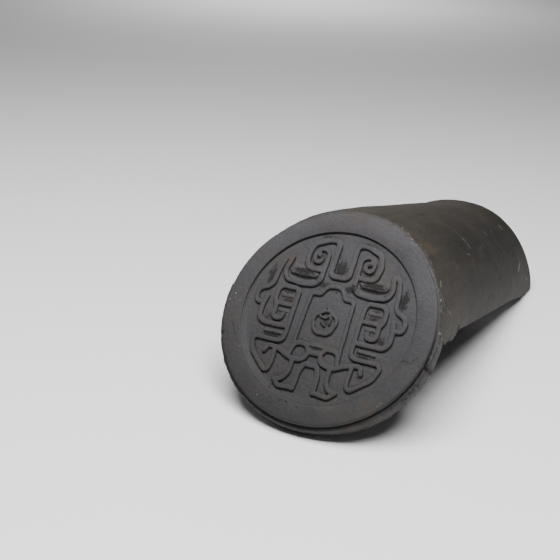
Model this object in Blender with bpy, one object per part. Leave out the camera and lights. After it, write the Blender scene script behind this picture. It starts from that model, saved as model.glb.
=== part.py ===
"""Eave roof tile of grey clay: a half-round barrel with a round, carved end.

Metres, +Z up. The tile stands as it does when it is set down by itself, on the lower back edge
of its round end and on the two tail corners of the barrel. The barrel runs along +Y, the carved
face looks to -Y, and the origin is under the middle of the tile, on the surface it stands on.
"""
import math

import bmesh
import bpy
from mathutils import Matrix, Vector

MM = 0.001

# Barrel
BARREL_RADIUS = 80.0 * MM
BARREL_WALL = 11.6 * MM
BARREL_LENGTH = 294.6 * MM      # from the middle of the round end to the tail
BARREL_STEPS = 40               # flats round the half circle
EDGE_BEVEL = 1.6 * MM           # softened edges of the tail and of the two bed edges

# Round end
END_RADIUS = BARREL_RADIUS      # as wide as the barrel, with their tops flush
END_THICKNESS = 16.0 * MM
END_LEAN = math.radians(28.3)   # its top leans back towards the barrel
END_STEPS = 72
END_BEVEL = 1.2 * MM
PLATE_STEP = 3.0 * MM
PLATE_RADIUS = END_RADIUS - PLATE_STEP      # the stamped face plate in front of the slab
PLATE_RISE = 4.0 * MM
RIM_WIDTH = 13.7 * MM
FIELD_RADIUS = PLATE_RADIUS - RIM_WIDTH     # the sunk field inside the flat rim
FIELD_DEPTH = 2.2 * MM
FIELD_SLOPE = 0.9 * MM          # how far the wall of the field leans outwards
JOINT_DEPTH = PLATE_RISE + 1.0 * MM         # how far behind the face the barrel begins

# Raised lines of the beast mask
LINE_FOOT = 4.2 * MM
LINE_TOP = 2.3 * MM
LINE_HEIGHT = 1.9 * MM
LINE_ROOT = 0.7 * MM            # how far each line is sunk into the clay of the field
LINE_TURN = math.radians(26)    # the largest bend from one point of a line to the next
LINE_SHORTEST = 0.5             # the least way between two points, in hundredths of the field's radius
MASK_TURN = math.radians(1.1)   # the mask sits a little askew

# Guide lines of the mask: distances from its middle line, in hundredths of the field's radius
HORN_IN = 11.1
HORN_OUT = 42.7
CUP_IN = 19.3
CUP_OUT = 64.1
PANEL_SIDE = 26.2
PILLAR = 39.8
EYE_OUT = 64.6
JAW_OUT = 77.4

# Guide lines of the mask: heights above its middle, in hundredths of the field's radius
HORN_TOP = 87.7
CROWN = 46.6
CUP_FOOT = 31.9
EYE_TOP = 23.7
EYE_BAR = 3.8
JAW = -21.8
WING = -38.7
MOUTH = -42.3
FOOT = -85.8
FLOWER_HEIGHT = -7.3
FLOWER_RADIUS = 12.8
FLOWER_SWELL = 1.1              # how far each of its lobes stands out
FLOWER_STEPS = 30


def clear_scene():
    for thing in list(bpy.data.objects):
        bpy.data.objects.remove(thing, do_unlink=True)


def rounded(corners):
    """Points along a bent line; each corner is its place across and up, and its radius."""
    points = [Vector(corners[0][:2])]
    for before, corner, after in zip(corners, corners[1:], corners[2:]):
        here = Vector(corner[:2])
        back = Vector(before[:2]) - here
        on = Vector(after[:2]) - here
        half = back.angle(on) / 2
        cut = min(corner[2] / math.tan(half), 0.499 * min(back.length, on.length))
        radius = cut * math.tan(half)
        back.normalize()
        on.normalize()
        middle = here + (back + on).normalized() * (radius / math.sin(half))
        spoke = here + back * cut - middle
        sweep = math.pi - 2 * half
        if back.cross(on) > 0:
            sweep = -sweep
        count = max(1, math.ceil(abs(sweep) / LINE_TURN))
        for step in range(count + 1):
            turned = Matrix.Rotation(sweep * step / count, 2) @ spoke
            if (middle + turned - points[-1]).length > LINE_SHORTEST:
                points.append(middle + turned)
    points.append(Vector(corners[-1][:2]))
    return points


def ring(across, up, radius, count, lobes=0, swell=0.0):
    """Points round a closed line, with as many soft lobes as asked."""
    points = []
    for step in range(count):
        angle = math.tau * step / count
        reach = radius + swell * math.cos(lobes * angle)
        points.append(Vector((across + reach * math.sin(angle), up + reach * math.cos(angle))))
    return points


def half_mask():
    """The lines right of the middle, in hundredths of the field's radius."""
    return [
        # Crown and horn
        rounded([(0, CROWN, 0), (HORN_IN, CROWN, 7.9), (HORN_IN, HORN_TOP, 8.7), (28.4, 86.9, 22.1),
                 (41.9, 78.2, 14.2), (HORN_OUT, 52.1, 11.8), (22.9, 50.6, 0)]),
        # Curl of the horn, its stem and the cup under it
        rounded([(26.9, 67.3, 0), (25.9, 59.9, 4.7), (35.1, 59.7, 6.3), (35.4, 73.9, 7.1), (20.2, 74.9, 8.7),
                 (CUP_IN, 60, 12.6), (CUP_IN + 0.6, CUP_FOOT, 15.8), (41.1, CUP_FOOT - 0.9, 31.6),
                 (CUP_OUT + 0.6, CUP_FOOT + 0.6, 19), (CUP_OUT - 0.9, 49, 15.8), (60.3, 60.7, 0)]),
        # Ear
        rounded([(60.7, 60, 0), (69.8, 57.5, 7.9), (72.7, 34.8, 47.4), (73.9, 21.5, 12.6),
                 (89.4, 13.6, 10.3), (85.9, 0.3, 7.9), (77.7, -0.6, 0)]),
        # Jaw
        rounded([(JAW_OUT - 2.5, 11.1, 0), (JAW_OUT, -1.6, 15.8), (JAW_OUT, JAW, 12.6), (56.9, JAW, 31.6), (PILLAR, JAW, 0)]),
        # Pillar and wing
        rounded([(PILLAR, 18.2, 0), (PILLAR, WING, 7.9), (76.8, WING + 0.5, 6.3), (72.4, -55.3, 12.6),
                 (47.7, -76.5, 4.4), (45.2, -63.2, 9.5), (45.5, -49, 0)]),
        # Eye
        rounded([(PILLAR, 16.7, 0), (43.3, EYE_TOP - 0.6, 5.5), (EYE_OUT, EYE_TOP + 0.3, 9.5), (EYE_OUT, 6.3, 12.6),
                 (61, 0, 9.5), (61.3, -14.2, 8.7), (51.2, -14.5, 4.1), (49.6, -9.5, 0)]),
        rounded([(PILLAR, EYE_BAR, 0), (61.6, EYE_BAR, 0)]),
        # Mouth with its round corner, and the whisker that runs out of it
        rounded([(0, MOUTH, 0), (7.9, MOUTH, 6.3), (12, -35.4, 6.3), (26.2, -35.1, 7.9), (27.5, -49, 0)]),
        rounded([(7.9, MOUTH, 0), (10.4, -52.8, 7.9), (23.7, -53.7, 15.8), (34.8, -48, 19),
                 (56.2, -46.1, 5.1), (57.5, -53.1, 0)]),
        # Panel of the nose
        rounded([(0, 34.6, 0), (9.5, 33.5, 6.3), (13.3, 23.4, 4.7), (PANEL_SIDE - 0.6, 23.4, 5.1),
                 (PANEL_SIDE, 0, 94.8), (PANEL_SIDE + 1.4, -40.3, 0)]),
        # Leg, foot and the arch between the legs
        rounded([(22.1, -53.4, 0), (22.4, -71.1, 15.8), (28.4, -79.9, 9.5), (37.3, -81.2, 0)]),
        rounded([(36.7, -80.3, 0), (30.8, FOOT - 0.2, 6.3), (11.7, FOOT + 0.2, 0)]),
        rounded([(0, -55.6, 0), (8.5, -55.3, 5.5), (11.7, -66.4, 12.6), (12, FOOT - 0.9, 0)]),
    ]


def mask_lines():
    """All lines of the mask as (points, closed), in metres, turned as the stamp was."""
    lines = []
    for points in half_mask():
        mirrored = [Vector((-p.x, p.y)) for p in points]
        if points[0].x == 0:
            lines.append((mirrored[:0:-1] + points, False))
        else:
            lines.append((points, False))
            lines.append((mirrored, False))
    lines.append((ring(0, FLOWER_HEIGHT, FLOWER_RADIUS, FLOWER_STEPS, lobes=5, swell=FLOWER_SWELL), True))
    turn = Matrix.Rotation(MASK_TURN, 2)
    unit = FIELD_RADIUS / 100
    return [([turn @ p * unit for p in points], closed) for points, closed in lines]


def face_frame(points, closed, index):
    """Matrix that puts a line's cross-section square on the line at one of its points."""
    count = len(points)
    here = points[index]
    before = points[(index - 1) % count] if closed or index > 0 else None
    after = points[(index + 1) % count] if closed or index < count - 1 else None
    into = (here - before).normalized() if before is not None else None
    out = (after - here).normalized() if after is not None else None
    if into is None:
        into = out
    if out is None:
        out = into
    along = (into + out).normalized()
    widen = min(1.0 / max(along.dot(into), 0.5), 1.6)
    side = Vector((along.y, -along.x)) * widen
    # The cross-section's X lies across the line and its Z stands out of the face
    return Matrix((
        (side.x, along.x, 0, here.x),
        (0, 0, -1, 0),
        (side.y, along.y, 0, here.y),
        (0, 0, 0, 1),
    ))


def sweep_line(bm, points, closed):
    """Extrude the cross-section of a raised line along its points and close its ends."""
    foot = FIELD_DEPTH + LINE_ROOT
    top = FIELD_DEPTH - LINE_HEIGHT
    section = [Vector((-LINE_FOOT / 2, 0, -foot)), Vector((LINE_FOOT / 2, 0, -foot)),
               Vector((LINE_TOP / 2, 0, -top)), Vector((-LINE_TOP / 2, 0, -top))]
    count = len(points)
    frames = [face_frame(points, closed, index) for index in range(count)]
    if closed:
        frames.append(frames[0])
    first = [bm.verts.new(frames[0] @ corner) for corner in section]
    start = [bm.edges.new((a, b)) for a, b in zip(first, first[1:] + first[:1])]
    edges = start
    for before, after in zip(frames, frames[1:]):
        grown = bmesh.ops.extrude_edge_only(bm, edges=edges)["geom"]
        verts = [item for item in grown if isinstance(item, bmesh.types.BMVert)]
        kept = set(verts)
        edges = [item for item in grown if isinstance(item, bmesh.types.BMEdge) and set(item.verts) <= kept]
        bmesh.ops.transform(bm, matrix=after @ before.inverted(), verts=verts)
    if not closed:
        bmesh.ops.contextual_create(bm, geom=start)
        bmesh.ops.contextual_create(bm, geom=edges)


def new_object(name, bm):
    bmesh.ops.remove_doubles(bm, verts=bm.verts, dist=0.00001)
    bmesh.ops.recalc_face_normals(bm, faces=bm.faces)
    mesh = bpy.data.meshes.new(name)
    bm.to_mesh(mesh)
    bm.free()
    made = bpy.data.objects.new(name, mesh)
    bpy.context.scene.collection.objects.link(made)
    return made


def round_end(name):
    """The slab with its face plate and sunk field, turned about Y; the face looks to -Y."""
    profile = [
        (0.0, FIELD_DEPTH),
        (FIELD_RADIUS - FIELD_SLOPE, FIELD_DEPTH),
        (FIELD_RADIUS, 0.0),
        (PLATE_RADIUS - END_BEVEL, 0.0),
        (PLATE_RADIUS, END_BEVEL),
        (PLATE_RADIUS, PLATE_RISE),
        (END_RADIUS - END_BEVEL / 2, PLATE_RISE),
        (END_RADIUS, PLATE_RISE + END_BEVEL),
        (END_RADIUS, END_THICKNESS - END_BEVEL),
        (END_RADIUS - END_BEVEL, END_THICKNESS),
        (0.0, END_THICKNESS),
    ]
    bm = bmesh.new()
    half_step = Matrix.Rotation(math.pi / END_STEPS, 3, "Y")
    verts = [bm.verts.new(half_step @ Vector((reach, depth, 0))) for reach, depth in profile]
    edges = [bm.edges.new(pair) for pair in zip(verts, verts[1:])]
    bmesh.ops.spin(bm, geom=verts + edges, axis=(0, 1, 0), cent=(0, 0, 0), angle=math.tau,
                   steps=END_STEPS, use_merge=True)
    return new_object(name, bm)


def barrel(name):
    """The half-round barrel: its axis runs below the middle of the end, so their tops are flush."""
    axis_drop = BARREL_RADIUS - END_RADIUS * math.cos(END_LEAN)
    bm = bmesh.new()
    outline = []
    for radius, flip in ((BARREL_RADIUS, 1), (BARREL_RADIUS - BARREL_WALL, -1)):
        low = math.asin(axis_drop / radius)
        arc = [low + (math.pi - 2 * low) * step / BARREL_STEPS for step in range(BARREL_STEPS + 1)]
        for angle in arc[::flip]:
            outline.append((radius * math.cos(angle), radius * math.sin(angle) - axis_drop))
    start = -END_RADIUS
    verts = [bm.verts.new((x, start, z)) for x, z in outline]
    section = bm.faces.new(verts)
    grown = bmesh.ops.extrude_face_region(bm, geom=[section])["geom"]
    moved = [item for item in grown if isinstance(item, bmesh.types.BMVert)]
    bmesh.ops.translate(bm, verts=moved, vec=(0, BARREL_LENGTH - start, 0))
    # Cut square to the round end, a little behind its face
    lean = Matrix.Rotation(-END_LEAN, 3, "X")
    cut = lean @ Vector((0, JOINT_DEPTH, 0))
    bmesh.ops.bisect_plane(bm, geom=bm.verts[:] + bm.edges[:] + bm.faces[:], plane_co=cut,
                           plane_no=lean @ Vector((0, -1, 0)), clear_outer=True)
    open_edges = [edge for edge in bm.edges if edge.is_boundary]
    bmesh.ops.contextual_create(bm, geom=open_edges)
    bmesh.ops.recalc_face_normals(bm, faces=bm.faces)
    # Soften the tail and the bed edges
    soft = []
    for edge in bm.edges:
        a, b = (vert.co for vert in edge.verts)
        at_tail = min(a.y, b.y) > BARREL_LENGTH - 0.1 * MM
        on_bed = max(abs(a.z), abs(b.z)) < 0.1 * MM and abs(a.x - b.x) < 0.1 * MM
        if at_tail or on_bed:
            soft.append(edge)
    bmesh.ops.bevel(bm, geom=soft, offset=EDGE_BEVEL, offset_type="OFFSET", segments=1, profile=0.5,
                    affect="EDGES", clamp_overlap=True, material=-1)
    return new_object(name, bm)


def resting_tilt():
    """How far the tail drops when the tile stands on its round end and its tail corners."""
    lean = Matrix.Rotation(-END_LEAN, 3, "X")
    apothem = math.cos(math.pi / END_STEPS)
    tail = Vector((0, BARREL_LENGTH - EDGE_BEVEL, 0))
    rims = [Vector((0, END_THICKNESS - END_BEVEL, -END_RADIUS * apothem)),
            Vector((0, END_THICKNESS, -(END_RADIUS - END_BEVEL) * apothem))]
    tilts = []
    for rim in rims:
        foot = lean @ rim
        tilts.append(math.atan2(tail.z - foot.z, tail.y - foot.y))
    return max(tilts)


def join(body, other, name):
    change = body.modifiers.new(name, "BOOLEAN")
    change.operation = "UNION"
    change.solver = "EXACT"
    change.use_self = True
    change.object = other
    other.hide_render = True
    other.display_type = "WIRE"


def clay():
    material = bpy.data.materials.new("grey_clay")
    material.use_nodes = True
    shader = material.node_tree.nodes["Principled BSDF"]
    shader.inputs["Base Color"].default_value = (0.085, 0.083, 0.086, 1.0)
    shader.inputs["Roughness"].default_value = 0.72
    shader.inputs["Metallic"].default_value = 0.0
    return material


def main():
    clear_scene()
    lean = Matrix.Rotation(-END_LEAN, 4, "X")
    tile = barrel("eave_tile")
    disc = round_end("round_end_blank")
    disc.matrix_world = lean
    bm = bmesh.new()
    for points, closed in mask_lines():
        sweep_line(bm, points, closed)
    mask = new_object("mask_lines", bm)
    mask.matrix_world = lean
    join(tile, disc, "round end")
    join(tile, mask, "raised lines")

    # Stand the tile on the ground, over the origin
    tile.rotation_euler = (-resting_tilt(), 0, 0)
    for guide in (disc, mask):
        guide.parent = tile
    bpy.context.view_layer.update()
    shape = tile.evaluated_get(bpy.context.evaluated_depsgraph_get())
    corners = [shape.matrix_world @ vert.co for vert in shape.data.vertices]
    low = Vector([min(corner[axis] for corner in corners) for axis in range(3)])
    high = Vector([max(corner[axis] for corner in corners) for axis in range(3)])
    tile.location = -Vector(((low.x + high.x) / 2, (low.y + high.y) / 2, low.z))
    tile.data.materials.append(clay())


main()
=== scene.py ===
"""Dressed eave tile: the stamped beast mask, the luted barrel, its grey clay and a plain studio."""

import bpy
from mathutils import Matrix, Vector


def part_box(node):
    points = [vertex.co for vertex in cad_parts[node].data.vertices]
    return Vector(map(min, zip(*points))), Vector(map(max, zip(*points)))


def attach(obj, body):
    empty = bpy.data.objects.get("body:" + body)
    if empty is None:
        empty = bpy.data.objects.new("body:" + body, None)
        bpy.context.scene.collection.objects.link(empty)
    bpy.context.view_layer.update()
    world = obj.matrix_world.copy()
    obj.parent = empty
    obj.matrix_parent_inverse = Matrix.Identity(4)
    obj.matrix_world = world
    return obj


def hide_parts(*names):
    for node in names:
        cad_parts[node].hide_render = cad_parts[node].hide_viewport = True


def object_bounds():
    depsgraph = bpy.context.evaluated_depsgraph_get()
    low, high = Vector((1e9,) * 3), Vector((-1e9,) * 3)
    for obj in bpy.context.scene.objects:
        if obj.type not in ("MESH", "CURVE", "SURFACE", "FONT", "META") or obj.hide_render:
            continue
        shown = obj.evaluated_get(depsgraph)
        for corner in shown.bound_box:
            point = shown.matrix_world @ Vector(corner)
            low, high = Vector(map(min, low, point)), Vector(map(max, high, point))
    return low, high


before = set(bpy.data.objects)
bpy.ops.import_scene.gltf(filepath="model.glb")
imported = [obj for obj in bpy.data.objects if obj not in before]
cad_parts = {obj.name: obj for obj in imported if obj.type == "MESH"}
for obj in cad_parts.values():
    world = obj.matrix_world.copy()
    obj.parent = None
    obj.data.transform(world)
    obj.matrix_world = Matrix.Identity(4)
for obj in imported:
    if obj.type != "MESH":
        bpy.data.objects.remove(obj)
CAD_LOW, CAD_HIGH = [list(map(float, corner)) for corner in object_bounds()]

import functools
import math

import bmesh
import bpy
import numpy as np
from mathutils import Matrix, Vector, noise

bl_info = {
    "name": "Eave tile",
    "version": (1, 0, 0),
    "blender": (4, 5, 0),
    "location": "3D View > Sidebar > Eave tile",
    "description": "Builds a grey clay eave tile with a stamped beast mask on its round end",
    "category": "Add Mesh",
}

MM = 0.001
BOX_MARGIN = 0.01 * MM      # how far the piece stays inside the solid's box

# Painted shadow lies at the lower right of each line: the way back to the line, across and up, and its width
# in millimetres
SHADOW_WAY_BACK = (-0.36, 0.70)
SHADOW_WIDTH = 1.35

# Half the width of the steep side of a mask line, in millimetres
LINE_SIDE = 0.19

# Flats round the slab of the solid, which stands on one of them
SOLID_STEPS = 72

# The camera: its way from the middle of the round end in metres; its heading, pitch and roll in radians
CAMERA_PLACE = (0.2355, -0.5300, 0.2742)
CAMERA_TURNS = (0.47377, 0.40551, -0.03326)

# How far the barrel's crest stands off a true half round, along its length, in millimetres
CREST_PLACES = (42, 60, 93, 128, 168, 192, 212, 232, 258, 276, 294)
CREST_RISES = (0.2, 0.7, 1.0, 0.1, -0.35, -0.5, -1.0, -1.1, -2.4, -2.1, -0.3)


class EaveTileSizes(bpy.types.PropertyGroup):
    """Sizes of the tile; they are those of the solid that it stands for."""
    radius: bpy.props.FloatProperty(
        name="Barrel radius", description="Outer radius of the barrel and of the round end",
        default=80.0 * MM, unit="LENGTH")
    wall: bpy.props.FloatProperty(
        name="Wall", description="Thickness of the barrel's wall", default=11.6 * MM, unit="LENGTH")
    length: bpy.props.FloatProperty(
        name="Length", description="From the middle of the round end to the tail", default=294.6 * MM,
        unit="LENGTH")
    edge: bpy.props.FloatProperty(
        name="Edge", description="Softened edges of the tail and the bed", default=1.6 * MM, unit="LENGTH")
    lean: bpy.props.FloatProperty(
        name="Lean", description="How far the top of the round end leans back to the barrel",
        default=math.radians(28.3), subtype="ANGLE")
    thickness: bpy.props.FloatProperty(
        name="End thickness", description="From the face to the back of the round end",
        default=16.0 * MM, unit="LENGTH")
    end_bevel: bpy.props.FloatProperty(
        name="End bevel", description="Softened edges of the round end", default=1.2 * MM, unit="LENGTH")
    plate_step: bpy.props.FloatProperty(
        name="Plate step", description="How much smaller the face plate is than the slab",
        default=3.0 * MM, unit="LENGTH")
    plate_rise: bpy.props.FloatProperty(
        name="Plate rise", description="How far the face plate stands in front of the slab",
        default=4.0 * MM, unit="LENGTH")
    rim: bpy.props.FloatProperty(
        name="Rim", description="Width of the flat rim round the field", default=13.7 * MM, unit="LENGTH")
    field_depth: bpy.props.FloatProperty(
        name="Field depth", description="How deep the field is sunk", default=2.2 * MM, unit="LENGTH")
    line_height: bpy.props.FloatProperty(
        name="Line height", description="How high the mask's lines stand", default=1.95 * MM, unit="LENGTH")
    line_fatness: bpy.props.FloatProperty(
        name="Line fatness", description="Width of the mask's lines as a share of the carved ones",
        default=1.0, subtype="FACTOR")
    mask_turn: bpy.props.FloatProperty(
        name="Mask turn", description="How far the mask was stamped askew", default=math.radians(1.1),
        subtype="ANGLE")


class EaveTileClay(bpy.types.PropertyGroup):
    """Colours of the fired clay, and of the shade painted on it."""
    face: bpy.props.FloatVectorProperty(
        name="Face", description="Blue-grey of the stamped face", subtype="COLOR",
        default=(0.0425, 0.0405, 0.0438), min=0.0, max=1.0)
    barrel: bpy.props.FloatVectorProperty(
        name="Barrel", description="Warm grey of the barrel", subtype="COLOR",
        default=(0.0245, 0.0203, 0.0152), min=0.0, max=1.0)
    # This dark colour also paints shade: lines at the foot and lower right of the mask's lines, the gap
    # behind the plate, the torn place and the pit
    dark_marks_and_shade: bpy.props.FloatVectorProperty(
        name="Soot", description="Dark clay and dirt in the hollows", subtype="COLOR",
        default=(0.0050, 0.0045, 0.0038), min=0.0, max=1.0)
    dust: bpy.props.FloatVectorProperty(
        name="Dust", description="Pale dust and chips", subtype="COLOR",
        default=(0.30, 0.275, 0.24), min=0.0, max=1.0)
    rust: bpy.props.FloatVectorProperty(
        name="Rust", description="Brown firing stains", subtype="COLOR",
        default=(0.041, 0.0285, 0.0175), min=0.0, max=1.0)
    roughness: bpy.props.FloatProperty(
        name="Roughness", description="Mean roughness of the clay", default=0.62, subtype="FACTOR")


class EaveTileStudio(bpy.types.PropertyGroup):
    """Floor, light and camera."""
    floor: bpy.props.FloatVectorProperty(
        name="Floor", description="Colour of the floor", subtype="COLOR", default=(0.82, 0.815, 0.825),
        min=0.0, max=1.0)
    key: bpy.props.FloatProperty(
        name="Key light", description="Power of the large light overhead", default=48.0, unit="POWER")
    side: bpy.props.FloatProperty(
        name="Side light", description="Power of the light above and to the right", default=15.0,
        unit="POWER")
    back: bpy.props.FloatProperty(
        name="Back light", description="Power of the light over the far floor", default=12.0, unit="POWER")
    sky: bpy.props.FloatProperty(name="Sky", description="Strength of the even light", default=0.09)
    lens: bpy.props.FloatProperty(
        name="Lens", description="Focal length in millimetres", default=60.0)


# The mask, right of its middle line. Each line: its width in millimetres, its height as a share of the
# usual one, and its corners, each across, up and rounding radius, in millimetres.
MASK = (
    # Crown and horn
    (3.8, 1.0, ((0, 29.6, 0), (6.6, 29.6, 4.5), (6.9, 55.6, 4.2), (15, 55.4, 10), (25.2, 50.6, 7),
                (27.6, 41, 16), (25.6, 31.6, 8), (14.5, 32.0, 0))),
    # Curl of the horn, its stem and the cup
    (2.7, 0.9, ((19.8, 44.9, 0), (19.6, 42.4, 1.3), (16.4, 42.4, 2.0), (16.6, 37.6, 3.0), (22.0, 37.2, 4.0),
                (22.4, 47.4, 5.0), (12.4, 47.6, 5.5), (12.2, 38, 8))),
    (3.3, 1.0, ((12.2, 40, 0), (12.6, 24, 12), (16.5, 20.4, 12), (26, 19.6, 30), (38.2, 20.9, 10),
                (40.6, 27, 8), (39.4, 33, 20), (38.4, 37.8, 0))),
    (4.2, 1.0, ((17.5, 21.9, 0), (21.5, 20.3, 20), (30, 20.0, 20), (36.2, 22.2, 0))),
    # Ear
    (3.3, 1.0, ((38.4, 37.9, 0), (43.0, 36.2, 4), (45.4, 26, 30), (46.4, 13.8, 8), (56.2, 9.6, 6.0),
                (54.8, 0.2, 4.5), (49.6, 0.1, 0))),
    # Jaw
    (3.5, 1.0, ((47.6, 6.0, 0), (48.8, -1, 10), (48.8, -13.5, 8), (36, -13.6, 30), (25.4, -13.4, 0))),
    # Pillar and wing
    (3.1, 1.0, ((25.0, 12.5, 0), (25.0, -24.4, 4.5), (48.4, -24.6, 3.4), (45.4, -35.4, 10),
                (29.6, -48.4, 2.4), (28.5, -40, 8), (28.9, -31, 0))),
    # Eye and its bar
    (3.4, 0.95, ((25.2, 11.6, 0), (26.6, 15.4, 3.0), (41.0, 15.8, 5.5), (41.0, 4.6, 6), (38.8, 1, 6),
                 (38.8, -8.6, 4.8), (32.6, -8.9, 2.6), (31.9, -4.6, 0))),
    (2.7, 0.85, ((25.2, 2.2, 0), (38.4, 2.2, 0))),
    # Mouth, its round corner and the whisker
    (3.4, 0.95, ((0, -27.1, 0), (4.6, -27.1, 3), (7.2, -22.6, 4), (16.4, -22.4, 6), (18.0, -32, 0))),
    (3.4, 1.0, ((4.4, -27.1, 0), (6.8, -33.6, 5), (15, -34.6, 8), (26, -30.0, 20), (34.2, -28.4, 3.2),
                (36.2, -33.4, 0))),
    # Panel of the nose
    (2.8, 0.9, ((0, 22.4, 0), (4.6, 21.9, 5.0), (7.4, 18.6, 3.0), (8.8, 14.9, 2.6), (16.0, 14.6, 3.0),
                (16.6, 0, 60), (17.3, -25.5, 0))),
    # Leg, foot and the arch between the legs
    (3.4, 1.0, ((14.2, -34.2, 0), (14.2, -44.5, 9), (17.4, -50.0, 6), (22.4, -50.9, 0))),
    (3.2, 1.0, ((22.9, -50.5, 0), (18.2, -54.8, 3), (7.4, -53.9, 0))),
    (3.5, 1.0, ((0, -35.6, 0), (5.0, -35.4, 4.2), (7.2, -42, 8), (7.4, -54.2, 0))),
)

# Low, rough swellings of clay in the field: width, height, then the corners as above
SWELLINGS = (
    (8.0, 0.50, ((19.5, 29.2, 0), (27, 28.6, 20), (34.0, 29.6, 0))),
    (2.8, 0.45, ((29.5, -18.4, 0), (41.0, -18.8, 0))),
    (3.6, 0.30, ((30, 9.4, 0), (36.5, 9.4, 0))),
    (2.6, 0.30, ((30, -2.2, 0), (35.6, -2.4, 0))),
    (3.2, 0.30, ((0, -21.6, 0), (4.4, -21.6, 0))),
)

# Shallow grooves left by the stamp: width, depth as a share of a line's height, then the corners
GROOVES = (
    (0.55, 0.22, ((14.6, 33.9, 0), (20, 33.7, 4), (24.2, 36.6, 4), (25.3, 42, 0))),
    (0.5, 0.16, ((15.0, 35.8, 0), (20.4, 35.6, 0))),
    (0.55, 0.24, ((35.6, 21.4, 0), (38.8, 24.2, 4), (39.5, 28.6, 0))),
    (0.5, 0.20, ((45.4, -29.5, 0), (41.8, -36.4, 12), (32.6, -43.8, 0))),
    (0.5, 0.14, ((5.5, -38, 0), (7.6, -50.5, 0))),
)

# Petals inside the flower: width and corners, in millimetres
FLOWER_LINES = (
    (1.7, ((-5.6, 2.0, 0), (-4.4, -0.8, 1.6), (0.4, -1.3, 1.6), (1.8, 0.6, 0))),
    (1.6, ((-3.6, 4.6, 0), (-1.6, 7.4, 1.6), (1.0, 5.4, 0))),
    (1.4, ((2.2, 2.2, 0), (3.8, -1.0, 2.0), (3.6, -5.4, 0))),
    (1.6, ((-2.4, -5.0, 0), (0.4, -6.8, 0))),
)

# Dark patches, then patches of brown stain, on the face: across, up, half width and half height in
# millimetres, strength
DARK_PATCHES = (
    (-1, 36, 5.5, 6.5, 1.0), (-1.5, 32.2, 4.5, 1.1, 1.3), (26, 24.9, 10.5, 1.9, 1.5),
    (-27, 24.6, 10.5, 1.9, 1.5), (26, 28.6, 10, 3.1, 1.0), (-27, 28.2, 10, 3.1, 0.95),
    (49.5, 23, 3.4, 9.5, 1.0), (-50.5, 21, 3.2, 9.5, 0.9), (10.5, 23, 5.5, 4, 0.95),
    (-10, 22, 5.5, 4, 0.75), (14, 57.5, 9, 1.8, 0.6), (-17, 57, 8, 1.8, 0.6), (34.5, -21.5, 7, 1.5, 0.9),
    (-34.5, -22, 7, 1.7, 1.1), (0, -23.6, 5, 1.4, 1.0), (0.5, 18.5, 4, 1.6, 0.5), (42.5, -8, 4, 3, 0.8),
    (-42, -9, 4, 3, 0.7), (32, 6.2, 5, 1.6, 0.9), (-32, 5.2, 5, 1.6, 0.9), (33, 12, 4.5, 2, 0.7),
    (-33, 11, 4.5, 2, 0.8), (0.5, -4.5, 4.5, 4.5, 0.55), (34, -36, 5, 3, 0.4), (-5, 44, 1.5, 9, 0.5),
    (17.5, 42, 2, 3, 0.6), (-17.5, 42, 2, 3, 0.6), (-8.5, -30, 2.5, 6, 0.4),
)
RUST_PATCHES = (
    (2, -66, 9, 3, 0.5), (-8, -64, 5, 2, 0.4), (-66, -14, 7, 12, 0.35), (20, 36.5, 9, 4, 0.5),
    (-20, 36.5, 9, 4, 0.5), (33, 5, 8, 8, 0.35), (-33, 4, 8, 8, 0.5), (0, 35, 5, 5, 0.4),
    (30, -40, 9, 7, 0.35), (-20, -42, 8, 6, 0.35), (27, 28.5, 9, 3, 0.6), (-27, 28, 9, 3, 0.6),
    (-33, -32, 9, 7, 0.35), (-72, 4, 6, 9, 0.3),
)

# Marks on the barrel: along and degrees round at each end, width in millimetres, strength
BARREL_MARKS = (
    (127.3, 82.5, 131.0, 68.7, 0.5, 0.3), (131.0, 68.7, 134.2, 59.1, 0.5, 0.3),
    (134.2, 59.1, 136.3, 53.4, 0.45, 0.25), (136.5, 53.4, 137.0, 50.2, 0.7, 0.75),
    (137.4, 49.0, 137.3, 45.5, 0.6, 0.65), (204.5, 54.1, 207.3, 51.0, 0.7, 0.75),
    (94.0, 128.5, 97.5, 119.0, 0.5, 0.3), (171.0, 141.0, 168.2, 136.5, 0.6, 0.5),
    (233.0, 118.0, 238.5, 116.4, 0.5, 0.45), (61.0, 148.0, 63.5, 145.0, 0.6, 0.5),
    (266.0, 152.0, 258.0, 149.5, 0.6, 0.5), (266.0, 55.5, 264.4, 51.8, 0.8, 0.9),
    (263.4, 27.5, 250.3, 22.8, 0.8, 0.9), (228.2, 53.3, 226.6, 52.2, 0.7, 0.5),
    (274.4, 17.7, 278.7, 15.0, 0.8, 0.6), (163.6, 44.9, 163.8, 42.8, 0.5, 0.4),
    (119.8, 43.1, 125.5, 42.1, 0.5, 0.4), (264.7, 46.8, 263.4, 45.3, 0.6, 0.5),
    (31.4, 50.8, 29.9, 47.8, 0.7, 0.4), (26.5, 45.7, 26.1, 42.9, 0.8, 0.55),
    (27.6, 41.6, 24.3, 35.9, 0.8, 0.55), (31.4, 34.2, 27.6, 31.4, 0.8, 0.6),
    (20.7, 32.0, 21.1, 30.2, 1.0, 0.6), (24.6, 27.1, 24.0, 22.7, 0.7, 0.5),
    (28.1, 20.8, 29.6, 18.2, 0.7, 0.45), (32.2, 18.5, 35.4, 15.7, 0.7, 0.4),
    (15.8, 28.9, 14.2, 26.1, 0.7, 0.4), (10.6, 24.0, 10.1, 21.2, 0.6, 0.4),
)

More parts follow.
